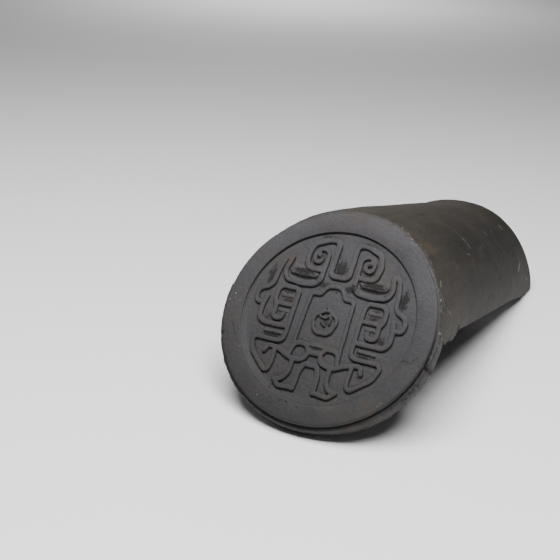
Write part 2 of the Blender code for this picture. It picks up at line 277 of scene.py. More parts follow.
# Hair cracks and pits, then pale specks, on the face: across and up at each end, width, strength;
# the lengths are in millimetres
FACE_CRACKS = (
    (60.8, -17.6, 63.5, -16.7, 0.45, 0.8), (63.5, -16.7, 66.3, -17.8, 0.4, 0.8),
    (66.3, -17.8, 70.3, -13.3, 0.35, 0.7), (66.3, -17.8, 69.5, -17.2, 0.3, 0.4),
    (-67.6, -19.8, -65.2, -21.4, 0.4, 0.7), (-65.2, -21.4, -63.4, -24.2, 0.4, 0.8),
    (-63.4, -24.2, -59.6, -29.4, 0.35, 0.6), (-12.0, -64.8, -9.2, -63.7, 0.5, 0.7),
    (-7.2, -64.3, -5.9, -65.0, 0.7, 0.8), (1.2, -65.6, 3.0, -65.9, 0.7, 0.8),
    (-23.0, -55.6, -20.5, -55.2, 0.6, 0.6), (-22.5, -57.6, -21.8, -57.9, 0.7, 0.6),
    (-2.2, -45.3, 0.2, -45.5, 0.5, 0.5), (-1.0, -49.0, 0.6, -48.4, 0.4, 0.4),
)
FACE_SPECKS = (
    (-71.7, 0.6, -71.5, 0.0, 0.5, 0.7), (-70.5, -2.5, -70.3, -2.8, 0.45, 0.6),
    (-66.6, -3.9, -66.4, -4.1, 0.4, 0.6), (-76.1, 6.8, -75.8, 6.4, 0.5, 0.6),
    (56.6, -47.6, 55.9, -48.6, 0.35, 0.2), (55.0, -50.2, 54.4, -51.0, 0.35, 0.25),
    (-74.4, -4.7, -74.1, -5.5, 0.4, 0.5), (9.4, 19.2, 8.8, 18.4, 0.4, 0.2),
    (-69.2, 5.5, -68.9, 5.1, 0.3, 0.4),
)


def bent(corners, turn=math.radians(12)):
    """Points along a bent line; each corner is its place across and up, and its radius."""
    points = [Vector(corners[0][:2])]
    for before, corner, after in zip(corners, corners[1:], corners[2:]):
        here = Vector(corner[:2])
        back = Vector(before[:2]) - here
        on = Vector(after[:2]) - here
        half = back.angle(on) / 2
        cut = min(corner[2] / math.tan(half), 0.499 * min(back.length, on.length))
        radius = cut * math.tan(half)
        back.normalize()
        on.normalize()
        middle = here + (back + on).normalized() * (radius / math.sin(half))
        spoke = here + back * cut - middle
        sweep = math.pi - 2 * half
        if back.cross(on) > 0:
            sweep = -sweep
        count = max(1, math.ceil(abs(sweep) / turn))
        points += [middle + Matrix.Rotation(sweep * step / count, 2) @ spoke for step in range(count + 1)]
    points.append(Vector(corners[-1][:2]))
    return points


def both_halves(lines, turn):
    """Each line and its mirror image, in millimetres, turned as the stamp was."""
    askew = Matrix.Rotation(turn, 2)
    made = []
    for width, height, corners in lines:
        points = bent(corners)
        for side in (1, -1):
            made.append((width, height, [askew @ Vector((side * p.x, p.y)) for p in points]))
    return made


def flower(turn):
    """The lobed ring in the panel and the small petals in it, in millimetres."""
    askew = Matrix.Rotation(turn, 2)
    ring = []
    for step in range(73):
        angle = math.tau * step / 72
        reach = 7.7 + 0.9 * abs(math.cos(2.5 * angle))
        ring.append(askew @ Vector((reach * math.sin(angle), -4.5 + 1.02 * reach * math.cos(angle))))
    marks = [(2.4, 0.9, ring)]
    for width, corners in FLOWER_LINES:
        marks.append((width, 0.75, [askew @ p for p in bent(corners)]))
    return marks


def way_to(points, line):
    """Shortest way from each point to a line, and the nearest place on it, in millimetres."""
    best = np.full(len(points), 1e9)
    nearest = np.zeros_like(points)
    for start, end in zip(line, line[1:]):
        a = np.array(start)
        run = np.array(end) - a
        square = float(run @ run)
        if square < 1e-9:
            continue
        share = np.clip(((points - a) @ run) / square, 0.0, 1.0)
        place = a + share[:, None] * run
        way = np.linalg.norm(points - place, axis=1)
        closer = way < best
        best[closer] = way[closer]
        nearest[closer] = place[closer]
    return best, nearest


def close_by(points, line, reach):
    """Numbers of the points within reach of the line's box."""
    corners = np.array([tuple(point) for point in line])
    low = corners.min(axis=0) - reach
    high = corners.max(axis=0) + reach
    return np.nonzero(((points > low) & (points < high)).all(axis=1))[0]


def smooth(low, high, value):
    """Soft step from 0 at low to 1 at high."""
    share = np.clip((value - low) / (high - low), 0.0, 1.0)
    return share * share * (3.0 - 2.0 * share)


def grain(points, size, seed):
    """Even noise from -1 to 1 at the points, with lumps of the given size, in the points' unit."""
    shift = Vector((seed * 7.31, seed * 3.17, seed * 5.73))
    return np.array([noise.noise(Vector(p) / size + shift) for p in points])


def beside_lines(across_up, sizes):
    """Signed way from each place to the edge of the nearest line (inside is minus), in millimetres,
    with the way out of that line and the line's height as a share of the usual one."""
    count = len(across_up)
    flat = np.column_stack([across_up, np.zeros(count)])
    wobble = np.column_stack([grain(flat, 7.0, 1), grain(flat, 7.0, 2)]) * 0.30
    wobble += np.column_stack([grain(flat, 26.0, 3), grain(flat, 26.0, 4)]) * 0.55
    places = across_up + wobble
    swell = grain(flat, 9.0, 5)
    signed = np.full(count, 9.0)
    outward = np.zeros((count, 2))
    tall = np.ones(count)
    for width, high, line in both_halves(MASK, sizes.mask_turn) + flower(sizes.mask_turn):
        chosen = close_by(places, line, width / 2 + 3.0)
        way, nearest = way_to(places[chosen], line)
        beyond = way - width * sizes.line_fatness / 2 * (1 + 0.06 * swell[chosen])
        better = beyond < signed[chosen]
        chosen, beyond, way, nearest = chosen[better], beyond[better], way[better], nearest[better]
        signed[chosen] = beyond
        outward[chosen] = (places[chosen] - nearest) / np.maximum(way, 1e-6)[:, None]
        tall[chosen] = high
    return signed, outward, tall


def relief(across_up, signed, tall, sizes):
    """Height of the mask above the sunk field, as a share of the usual line's, at each place."""
    count = len(across_up)
    flat = np.column_stack([across_up, np.zeros(count)])
    uneven = grain(flat, 8.0, 6)
    inside = tall * (1 + 0.05 * uneven) * (1 - 0.10 * np.exp(np.minimum(signed, 0) / 0.55))
    outside = -0.07 * np.exp(-np.maximum(signed, 0) / 0.6)
    height = np.where(signed < 0, inside, outside)
    rough = grain(flat, 1.5, 7) * 0.6 + grain(flat, 3.2, 8) * 0.8
    for width, high, line in both_halves(SWELLINGS, sizes.mask_turn):
        chosen = close_by(across_up, line, width)
        way, nearest = way_to(across_up[chosen], line)
        below = across_up[chosen, 1] < nearest[:, 1]
        soft = np.where(below, 0.7, 2.6)
        shape = 1.0 - smooth(width / 2 - soft, width / 2 + 0.3, way + 0.55 * rough[chosen])
        lump = high * shape * (1 + 0.3 * rough[chosen])
        height[chosen] = np.maximum(height[chosen], lump)
    for width, deep, line in both_halves(GROOVES, sizes.mask_turn):
        chosen = close_by(across_up, line, width * 2)
        way, nearest = way_to(across_up[chosen], line)
        height[chosen] -= deep * np.exp(-(way / (width * 0.6)) ** 2)
    return height


def patches(across_up, spots):
    """Strength of the soft patches at each place, from 0 to 1."""
    strength = np.zeros(len(across_up))
    for across, up, wide, tall, amount in spots:
        way = np.hypot((across_up[:, 0] - across) / wide, (across_up[:, 1] - up) / tall)
        strength = np.maximum(strength, amount * (1.0 - smooth(0.35, 1.35, way)))
    return strength


def recess(angle, field):
    """Radii of the recess wall's foot and lip: steep, but a wide soft slope at the lower left."""
    away = (angle + math.radians(142) + math.pi) % math.tau - math.pi
    soft = np.exp(-(away / math.radians(50)) ** 2)
    return field - 0.72 - 3.3 * soft, field + 0.02 + 0.35 * soft


def recess_depth(across_up, sizes):
    """How deep the field lies under the rim at each place, in millimetres."""
    field = (sizes.radius - sizes.plate_step - sizes.rim) / MM
    foot, lip = recess(np.arctan2(across_up[:, 1], across_up[:, 0]), field)
    reach = np.hypot(across_up[:, 0], across_up[:, 1])
    share = np.clip((reach - foot) / (lip - foot), 0.0, 1.0)
    rounded = 0.35 * share + 0.65 * share * share * (3 - 2 * share)
    dish = 0.4 * smooth(field - 6.4, field - 0.9, reach)
    return np.clip(sizes.field_depth / MM - dish, 0, None) * (1.0 - rounded)


def end_lean(sizes):
    """From the round end's frame (across, depth, up) to the tile's."""
    return Matrix.Rotation(-sizes.lean, 3, "X")


def standing(sizes):
    """From the tile's frame to the solid's: the tile stands on its round end and its tail corners."""
    lean = end_lean(sizes)
    apothem = math.cos(math.pi / SOLID_STEPS)
    rims = [lean @ Vector((0, sizes.thickness - sizes.end_bevel, -sizes.radius * apothem)),
            lean @ Vector((0, sizes.thickness, -(sizes.radius - sizes.end_bevel) * apothem))]
    tail = Vector((0, sizes.length - sizes.edge, 0))
    tilt = max(math.atan2(tail.z - foot.z, tail.y - foot.y) for foot in rims)
    turn = Matrix.Rotation(-tilt, 3, "X")
    low = min((turn @ foot).z for foot in rims)
    drop = sizes.radius - sizes.radius * math.cos(sizes.lean)
    far = max((turn @ Vector((0, sizes.length - sizes.edge, sizes.radius - drop))).y,
              (turn @ Vector((0, sizes.length, sizes.radius - sizes.edge - drop))).y)
    box_low, box_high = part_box("eave_tile")
    return Matrix.Translation((0, box_high[1] - far, box_low[2] - low)) @ turn.to_4x4()


def ring_out(bm, edges, reach, depth):
    """Extrude a round edge loop to a new radius and depth; returns the new loop's edges."""
    grown = bmesh.ops.extrude_edge_only(bm, edges=edges)["geom"]
    verts = [item for item in grown if isinstance(item, bmesh.types.BMVert)]
    kept = set(verts)
    for vert in verts:
        angle = math.atan2(vert.co.z, vert.co.x)
        out = reach(angle) if callable(reach) else reach
        vert.co = (out * math.cos(angle), depth, out * math.sin(angle))
    return [item for item in grown if isinstance(item, bmesh.types.BMEdge) and set(item.verts) <= kept]


def carve(bm, sizes, spacing):
    """Sink the field and raise the mask; vertices by a line's edge move onto it, so its wall is crisp."""
    verts = [vert for vert in bm.verts if vert.co.y < sizes.field_depth / MM + 0.1]
    places = np.array([(vert.co.x, vert.co.z) for vert in verts])
    signed, outward, tall = beside_lines(places, sizes)
    close = np.abs(signed) < 0.75 * spacing
    target = np.where(signed < 0, -LINE_SIDE, LINE_SIDE)
    places += outward * np.where(close, target - signed, 0.0)[:, None]
    signed = np.where(close, target, signed)
    sunk = recess_depth(places, sizes)
    lift = relief(places, signed, tall, sizes) * sizes.line_height / MM * np.clip(sunk * 2, 0, 1)
    for vert, place, down, up in zip(verts, places, sunk, lift):
        vert.co = (place[0], down - up, place[1])


def stamped_end(sizes, cells):
    """The round end in its own frame, millimetres: field, mask, rim, plate edge, slab and back."""
    radius = sizes.radius / MM
    plate = radius - sizes.plate_step / MM
    field = plate - sizes.rim / MM
    rise = sizes.plate_rise / MM
    thick = sizes.thickness / MM
    start = field - 1.6
    bm = bmesh.new()
    bmesh.ops.create_grid(bm, x_segments=cells, y_segments=cells, size=1.0)
    for vert in bm.verts:
        x, y = vert.co.x, vert.co.y
        vert.co = (start * x * math.sqrt(1 - y * y / 2), 0.0, start * y * math.sqrt(1 - x * x / 2))
    edges = [edge for edge in bm.edges if edge.is_boundary]
    for reach in (0.3, 0.6, 0.8, 0.95, 1.1, 1.25, 1.4, 1.55, 1.7, 2.0, 2.6):
        edges = ring_out(bm, edges, start + reach, 0.0)
    carve(bm, sizes, 2 * start / cells)

    def slab(reach):
        """The slab is bare below the barrel, and stays inside the barrel's wall above."""
        def at(angle):
            inside = float(smooth(7.0, 17.0, np.float64(reach * math.sin(angle))))
            return reach - 4.2 * inside
        return at

    rings = [(field + 3, 0.0), (field + 5.2, 0.0), (field + 7.6, 0.0), (field + 10, 0.0),
             (plate - 1.9, 0.0), (plate - 1.2, 0.05), (plate - 0.7, 0.2), (plate - 0.32, 0.45),
             (plate - 0.08, 0.85), (plate, 1.4), (plate, 2.5), (plate - 0.25, rise - 0.5),
             (slab(plate + 0.1), rise + 0.15), (slab(radius - 1.5), rise + 0.1),
             (slab(radius - 0.5), rise + 0.5), (slab(radius), rise + 1.4), (slab(radius), rise + 3.2),
             (slab(radius), rise + 5.2), (slab(radius), rise + 7.4), (slab(radius), thick - 2.4),
             (slab(radius - 0.15), thick - 1.3), (slab(radius - 0.6), thick - 0.5),
             (slab(radius - 1.4), thick), (slab(radius - 4), thick), (radius - 12, thick),
             (radius - 24, thick), (radius - 40, thick), (radius - 60, thick), (8, thick)]
    for reach, deep in rings:
        edges = ring_out(bm, edges, reach, deep)
    bmesh.ops.contextual_create(bm, geom=edges)
    bmesh.ops.recalc_face_normals(bm, faces=bm.faces)
    return bm


def steps_along(length):
    """Places of the barrel's rings, in millimetres: close together at both ends."""
    places = [-14.0]
    while places[-1] < length:
        here = places[-1]
        gap = 1.4 if here < 58 else 1.8 if here > length - 16 else 4.0
        places.append(here + gap)
    places[-1] = length
    if places[-1] - places[-2] < 0.6:
        places.pop(-2)
    return places


def bare_barrel(sizes, around, through):
    """The half-round barrel in the tile's frame, millimetres, cut off along the round end's slab."""
    radius = sizes.radius / MM
    wall = sizes.wall / MM
    drop = radius - radius * math.cos(sizes.lean)
    places = steps_along(sizes.length / MM)
    bm = bmesh.new()
    bmesh.ops.create_grid(bm, x_segments=around, y_segments=through, size=1.0)
    for vert in bm.verts:
        share = (vert.co.x + 1) / 2
        share = share - 0.07 * math.sin(math.tau * share)
        reach = radius - wall * (1 - vert.co.y) / 2
        low = math.asin(drop / reach)
        angle = low + (math.pi - 2 * low) * share
        vert.co = (reach * math.cos(angle), places[0], reach * math.sin(angle) - drop)
    front = bm.faces[:] + bm.edges[:]
    for before, after in zip(places, places[1:]):
        grown = bmesh.ops.extrude_face_region(bm, geom=front)["geom"]
        verts = [item for item in grown if isinstance(item, bmesh.types.BMVert)]
        front = [item for item in grown if not isinstance(item, bmesh.types.BMVert)]
        bmesh.ops.translate(bm, verts=verts, vec=(0, after - before, 0))
    bmesh.ops.recalc_face_normals(bm, faces=bm.faces)
    soft = []
    for edge in bm.edges:
        if len(edge.link_faces) == 2 and edge.calc_face_angle(0.0) > math.radians(50):
            if max(vert.co.y for vert in edge.verts) > places[0] + 0.1:
                soft.append(edge)
    bmesh.ops.bevel(bm, geom=soft, offset=sizes.edge / MM, offset_type="OFFSET", segments=3, profile=0.5,
                    affect="EDGES", clamp_overlap=True, material=-1)
    lean = end_lean(sizes)
    bmesh.ops.bisect_plane(bm, geom=bm.verts[:] + bm.edges[:] + bm.faces[:],
                           plane_co=lean @ Vector((0, sizes.plate_rise / MM - 0.4, 0)),
                           plane_no=lean @ Vector((0, -1, 0)), clear_outer=True)
    open_edges = [edge for edge in bm.edges if edge.is_boundary]
    bmesh.ops.contextual_create(bm, geom=open_edges)
    bmesh.ops.triangulate(bm, faces=[face for face in bm.faces if len(face.verts) > 4])
    bmesh.ops.recalc_face_normals(bm, faces=bm.faces)
    return bm


def shoulder(bm, sizes):
    """Round the barrel's front down to the edge of the face plate, as wet clay was smoothed there."""
    unlean = end_lean(sizes).inverted()
    lean = end_lean(sizes)
    plate = (sizes.radius - sizes.plate_step) / MM
    rise = sizes.plate_rise / MM
    start = plate - 0.25
    for vert in bm.verts:
        across, depth, up = unlean @ vert.co
        reach = math.hypot(across, up)
        long = 1.6 + 0.34 * max(0.0, reach - start)
        if reach <= start or depth > rise + long or up < -2:
            continue
        share = max(0.0, min(1.0, (depth - rise + 0.4) / long))
        wanted = start + (reach - start) * math.sqrt(1 - (1 - share) ** 2)
        scale = wanted / reach
        vert.co = lean @ Vector((across * scale, depth, up * scale))


def in_fixed_order(bm):
    """Number points, edges and faces by their place, so that every run goes on from the same mesh."""
    places = np.array([tuple(vert.co) for vert in bm.verts])
    ranks = np.empty(len(places), dtype=int)
    ranks[np.lexsort(places.T)] = np.arange(len(places))
    ranks = ranks.tolist()
    count = len(ranks)

    def place_number(item):
        number = 0
        for rank in sorted(vert.index for vert in item.verts)[:3]:
            number = number * count + rank
        return number

    bm.verts.index_update()
    bm.verts.sort(key=lambda vert: ranks[vert.index])
    bm.verts.index_update()
    bm.edges.sort(key=place_number)
    bm.faces.sort(key=place_number)


def read(things, name, width=1, kind=np.float64):
    """One value, or a row of them, of every point, edge, corner or face of a mesh."""
    flat = np.empty(len(things) * width, dtype=kind)
    things.foreach_get(name, flat)
    return flat.reshape(-1, width) if width > 1 else flat


def from_lowest_point(mesh):
    """Begin every edge and every face at its lowest-numbered point, for the same reason."""
    mesh.edges.foreach_set("vertices", np.sort(read(mesh.edges, "vertices", 2, np.int32)).ravel())
    points = read(mesh.loops, "vertex_index", kind=np.int32)
    edges = read(mesh.loops, "edge_index", kind=np.int32)
    numbers = points.tolist()
    order = []
    for face in mesh.polygons:
        first, end = face.loop_start, face.loop_start + face.loop_total
        lowest = numbers.index(min(numbers[first:end]), first)
        order += [*range(lowest, end), *range(first, lowest)]
    mesh.loops.foreach_set("vertex_index", points[order])
    mesh.loops.foreach_set("edge_index", edges[order])
    mesh.update()


def new_object(name, bm):
    """An object in the scene from a finished mesh under construction, which is freed."""
    in_fixed_order(bm)
    mesh = bpy.data.meshes.new(name)
    bm.to_mesh(mesh)
    bm.free()
    from_lowest_point(mesh)
    made = bpy.data.objects.new(name, mesh)
    bpy.context.scene.collection.objects.link(made)
    return made


def applied(thing):
    """Replace the object's mesh by what its modifiers make of it."""
    bpy.context.view_layer.update()
    shape = thing.evaluated_get(bpy.context.evaluated_depsgraph_get())
    mesh = bpy.data.meshes.new_from_object(shape)
    old = thing.data
    thing.modifiers.clear()
    thing.data = mesh
    bpy.data.meshes.remove(old)


def luted(sizes):
    """Round end and barrel as one closed piece, in the tile's frame, millimetres."""
    cells, kept_share, steps_round = ((340, 0.42, 64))
    end = new_object("round_end_blank", stamped_end(sizes, cells))
    thin = end.modifiers.new("Fewer faces in the flats", "DECIMATE")
    thin.ratio = kept_share
    applied(end)
    end.data.transform(end_lean(sizes).to_4x4())
    barrel_bm = bare_barrel(sizes, steps_round, 4)
    shoulder(barrel_bm, sizes)
    barrel = new_object("barrel_blank", barrel_bm)
    join = end.modifiers.new("Luted joint", "BOOLEAN")
    join.operation = "UNION"
    join.solver = "MANIFOLD"
    join.object = barrel
    applied(end)
    bpy.data.objects.remove(barrel, do_unlink=True)
    return end


class Surface:
    """Where every point of the piece lies, in the tile's frame and the round end's, in millimetres and
    degrees, and the noise that its unevenness and its tints share."""

    def __init__(self, mesh, sizes):
        self.co = read(mesh.vertices, "co", 3)
        self.normals = read(mesh.vertices, "normal", 3)
        self.x, self.along, self.z = self.co.T
        self.lean = np.array(end_lean(sizes))
        end_co = self.co @ self.lean
        self.across_up = end_co[:, [0, 2]]
        across, self.depth, self.up = end_co.T
        self.reach = np.hypot(across, self.up)
        self.angle = np.degrees(np.arctan2(self.up, across))
        self.spokes = np.column_stack([across, np.zeros(len(across)), self.up])
        self.spokes = self.spokes / np.maximum(self.reach, 1e-6)[:, None] @ self.lean.T

        self.radius = sizes.radius / MM
        self.plate = self.radius - sizes.plate_step / MM
        self.field = self.plate - sizes.rim / MM
        self.rise = sizes.plate_rise / MM
        self.thick = sizes.thickness / MM
        self.wall = sizes.wall / MM
        self.to_tail = sizes.length / MM - self.along
        drop = self.radius - self.radius * math.cos(sizes.lean)
        self.ring = np.hypot(self.x, self.z + drop)
        self.round_angle = np.degrees(np.arctan2(self.z + drop, self.x))

        self.on_face = (self.depth < self.rise - 0.3) & (self.reach < self.plate + 0.5)
        self.on_back = np.abs(self.depth - self.thick) < 0.3
        self.outer = self.ring > self.radius - 3.5
        self.side_face = (self.reach > self.plate + 0.8) & (self.depth > self.rise - 0.2)
        self.side_face &= self.depth < self.thick - 0.2
        self.right_low = np.exp(-((self.angle + 28) / 22.0) ** 2)
        self.near_tail = smooth(3.0, 0.0, self.to_tail)
        self.near_skin = np.maximum(smooth(2.2, 0.4, self.radius - self.ring),
                                    smooth(2.2, 0.4, self.ring - self.radius + self.wall))

        self.middle = grain(self.co, 11.0, 12)
        self.fine = grain(self.co, 3.6, 13)
        self.ragged = grain(self.co, 4.0, 14) + 0.6 * grain(self.co, 1.8, 15)
        self.flakes = grain(self.co, 2.6, 16) + 0.7 * grain(self.co, 6.5, 17)
        # Ways from the torn place on the slab's side and from the pit behind the joint
        self.tear = np.hypot((self.angle + 12.5) * 1.2, self.depth - 6.5) + 1.1 * self.flakes
        self.pit = np.hypot(self.along - 52.8, (self.round_angle - 8.8) * 1.4) + 0.4 * self.fine


def uneven(at):
    """Shift of each point: soft lumps all over, but for the slab's flat back, and the barrel's crest,
    which is fuller behind the joint, dips towards the tail and flares again at its edge."""
    broad = grain(at.co, 42.0, 11)
    move = np.where(at.on_face, 0.08 * broad + 0.04 * at.middle,
                    0.22 * broad + 0.12 * at.middle + 0.05 * at.fine)
    move[at.on_back] = 0.0
    shift = at.normals * move[:, None]
    crest = np.exp(-((at.round_angle - 104) / 26.0) ** 2)
    rise_along = np.interp(at.along, CREST_PLACES, CREST_RISES)
    flare = 1.25 * smooth(262, 294, at.along) * np.exp(-((at.round_angle - 65) / 20.0) ** 2)
    on_wall = (at.ring > at.radius - at.wall - 3) & (at.depth > at.rise)
    lifted = np.where(on_wall, crest * rise_along + flare, 0.0)
    shift[:, 0] += np.cos(np.radians(at.round_angle)) * lifted
    shift[:, 2] += np.sin(np.radians(at.round_angle)) * lifted
    return shift


def hanging_clay(at):
    """Shift of each point: clay squeezed out of the joint hangs below the bed edges, thicker at the
    right, and the right edge sags a little towards the tail."""
    shift = np.zeros_like(at.co)
    on_bed = np.abs(at.z) < 2.2
    beyond_slab = smooth(at.thick + 0.2, at.thick + 2.6, at.depth)
    down_slab = at.lean @ np.array((0.0, 0.0, -1.0))
    for side, long, hang in ((1, 55.0, 5.4), (-1, 40.0, 3.6)):
        here = on_bed & (at.x * side > at.radius - 11)
        share = (1 - smooth(long - 9, long, at.along + 3 * at.ragged)) * beyond_slab
        share *= smooth(at.radius - 11, at.radius - 5, at.x * side)
        shift += down_slab * np.where(here, hang * share * (0.9 + 0.5 * at.ragged), 0.0)[:, None]
    sag = 2.2 * np.exp(-((at.along - 255) / 22.0) ** 2) * smooth(14, 4, np.abs(at.round_angle - 7))
    shift[:, 2] -= np.where((at.x > 0) & (at.along > 190), sag, 0.0)
    return shift


def slab_side(at):
    """Shift of each point: the slab's side is rough where the excess was pulled off, and torn at the
    lower right; small chips are out of the face plate's edge, most of them at the left."""
    left_low = np.exp(-((at.angle + 138) / 16.0) ** 2)
    push = at.flakes * (0.3 + 0.4 * at.right_low)
    push += left_low * (0.6 + 1.1 * at.flakes) * smooth(4.5, 8, at.depth)
    push += 0.6 * at.right_low * np.exp(-((at.depth - 12.5) / 1.6) ** 2)
    push -= 0.9 * at.right_low * np.exp(-((at.depth - 8.5) / 2.4) ** 2)
    push -= 4.2 * (1 - smooth(1.2, 3.6, at.tear))
    push = np.where(at.side_face, push, 0.0)
    plate_edge = np.exp(-((at.reach - at.plate) / 0.9) ** 2) * (at.depth < at.rise - 0.4)
    left = np.exp(-(((at.angle % 360) - 196) / 26.0) ** 2)
    nick = np.clip(grain(at.co, 3.4, 20) + 0.4 * grain(at.co, 1.6, 21) - 0.22, 0, 1)
    push -= plate_edge * nick * (0.5 + 2.6 * left)
    return at.spokes * push[:, None]


def chips(at):
    """Shift of each point: chips out of the tail's edges, its right corner and the bed edges, and the
    small pit behind the joint."""
    bite = np.clip(grain(at.co, 5.5, 18) + 0.5 * grain(at.co, 2.2, 19) - 0.12, 0, 1)
    shift = at.normals * (-1.2 * (1 - smooth(0.7, 1.7, at.pit)) * at.outer)[:, None]
    corner = np.hypot(at.z, at.to_tail) + 1.5 * at.ragged
    shift[:, 1] -= at.near_tail * at.near_skin * bite * 3.4
    shift[:, 1] -= 2.2 * (1 - smooth(2.0, 6.0, corner)) * (at.x > 0)
    shift[:, 2] += 1.6 * smooth(2.0, 0.3, np.abs(at.z)) * bite * (at.along > 60)
    return shift


def shade(mesh, on_back):
    """Smooth shading all over, but for the edges of the slab's flat back."""
    by_back = on_back[read(mesh.edges, "vertices", 2, np.int32)].all(axis=1)
    mesh.shade_smooth()
    mesh.set_sharp_from_angle(angle=math.radians(32))
    sharp = read(mesh.attributes["sharp_edge"].data, "value", kind=bool)
    mesh.attributes["sharp_edge"].data.foreach_set("value", sharp & by_back)


def tints(at, sizes):
    """How strongly each tint and each painted shade shows at each point, and the places that the marks are
    set out by.
    """
    # Painted shade: dark lines at the foot of the mask's lines and the rim, painted shadow at their lower
    # right and below the swellings
    painted_crease_shade, foot, toward_light = np.zeros(len(at.co)), np.full(len(at.co), -2.0), np.full(len(at.co), 3.0)
    in_field = at.on_face & (at.reach < at.field + 0.6)
    painted_crease_shade[in_field] = painted_swelling_shadow(at.across_up[in_field], sizes)
    near_field = at.on_face & (at.reach < at.field + 4)
    foot[near_field] = from_wall(at.across_up[near_field], sizes)
    toward_light[near_field] = from_wall(at.across_up[near_field] + np.array(SHADOW_WAY_BACK) * SHADOW_WIDTH, sizes)

    # Painted shade in the gap behind the face plate: all of it below, and only in cracks at the top
    gap = np.hypot(at.reach - at.plate - 0.2, (at.depth - at.rise) * 0.7)
    under = smooth(12, -12, at.angle) + (np.abs(at.angle) > 165)
    cracks = 0.75 * smooth(-0.1, 0.35, at.middle + 0.5 * at.fine) * np.exp(-((at.angle - 98) / 26.0) ** 2)
    shown = np.clip(0.16 + cracks + 0.7 * np.clip(under, 0, 1), 0, 1)
    painted_crease_shade = np.maximum(painted_crease_shade, shown * (1 - smooth(0.5, 1.4, gap)))

    face = np.clip(1 - smooth(at.rise, at.rise + 2.5, at.depth), 0, 1) * (at.reach < at.radius + 6)
    bare_slab = (at.reach < at.radius + 1) & (at.depth < at.thick + 1)
    face = np.maximum(face, 0.4 * bare_slab * smooth(30, -20, at.up))

    # Dark patches on the face and dark flakes on the slab's rough lower-right side; painted shade in the
    # torn place and in the pit
    dark_marks_and_shade = np.where(at.on_face, patches(at.across_up, DARK_PATCHES), 0.0)
    flaked = at.right_low * 0.8 * np.clip(0.4 + at.flakes, 0, 1)
    dark_marks_and_shade = np.maximum(dark_marks_and_shade, np.where(at.side_face, flaked, 0.0))
    dark_marks_and_shade = np.maximum(dark_marks_and_shade, np.where(at.side_face, 1.3 * (1 - smooth(0.8, 3.2, at.tear)), 0.0))
    dark_marks_and_shade = np.maximum(dark_marks_and_shade, np.where(at.outer, 1 - smooth(0.8, 2.2, at.pit), 0.0))

    # Brown stains: patches on the face, a spot near the joint and a band beside it
    rust = np.where(at.on_face, patches(at.across_up, RUST_PATCHES), 0.0)
    spot = np.hypot((at.along - 49) / 10, (at.round_angle - 52.5) / 6) + 0.5 * at.middle + 0.3 * at.fine
    rust = np.maximum(rust, np.where(at.outer, 1.8 * (1 - smooth(0.3, 1.1, spot)), 0.0))
    band = np.exp(-((at.along - 24) / 9.0) ** 2) * np.exp(-((at.round_angle - 26) / 22.0) ** 2)
    beside = at.outer & (at.depth > at.rise)
    rust = np.maximum(rust, np.where(beside, 0.5 * band * (0.6 + at.middle), 0.0))

    joint = np.where(beside & (at.depth < at.rise + 5), 1.0, 0.0)
    joint *= smooth(-8, 4, at.round_angle) * (1 - smooth(58, 78, at.round_angle))
    return {
        "face": face, "dark_marks_and_shade": dark_marks_and_shade, "rust": rust, "painted_crease_shade": painted_crease_shade, "foot": foot, "toward_light": toward_light, "joint": joint,
        "wear": 0.8 * at.near_tail * at.near_skin,
        # Painted shade: the face darker towards its foot, and the barrel darker along its crest from a
        # little behind the joint on
        "low": np.clip((at.radius - at.up) / (2 * at.radius), 0, 1),
        "top": np.exp(-((at.round_angle - 42) / 32.0) ** 2) * smooth(30, 130, at.along),
        "outer": at.outer.astype(float),
        "across": at.across_up[:, 0] * MM,
        "up": at.up * MM,
        "along": at.along * MM,
        "arc": np.radians(at.round_angle) * at.radius * MM,
    }


def work_by_hand(tile, sizes):
    """Uneven surfaces, the ragged clay at the joint, chips and pits; then the tints and the painted shade of
    each place.
    """
    mesh = tile.data
    at = Surface(mesh, sizes)
    moved = (at.co + uneven(at) + hanging_clay(at) + slab_side(at) + chips(at)) * MM
    world = standing(sizes)
    moved = moved @ np.array(world.to_3x3()).T + np.array(world.translation)
    moved = np.clip(moved, np.array(CAD_LOW) + BOX_MARGIN, np.array(CAD_HIGH) - BOX_MARGIN)
    mesh.vertices.foreach_set("co", moved.ravel())
    mesh.update()
    shade(mesh, at.on_back)
    for name, values in tints(at, sizes).items():
        layer = mesh.attributes.new(name, "FLOAT", "POINT")
        layer.data.foreach_set("value", np.ascontiguousarray(values, dtype=np.float32))


def from_wall(across_up, sizes):
    """Way from each place to the nearest raised edge, of the mask or the rim; minus on top of it."""
    signed = beside_lines(across_up, sizes)[0]
    field = (sizes.radius - sizes.plate_step - sizes.rim) / MM
    rim = field - 0.3 - np.hypot(across_up[:, 0], across_up[:, 1])
    return np.clip(np.minimum(signed, rim), -2.0, 3.0)


def painted_swelling_shadow(across_up, sizes):
    """Painted shadow at the foot of the low swellings' lower sides: dark where the place up and a little
    left stands higher.
    """
    def height(places):
        nothing = np.full(len(places), 9.0)
        return relief(places, nothing, nothing, sizes)
    here = height(across_up)
    toward_light = height(across_up + np.array((-0.30, 0.95)))
    return np.clip((toward_light - here) * 2.2, 0, 1)


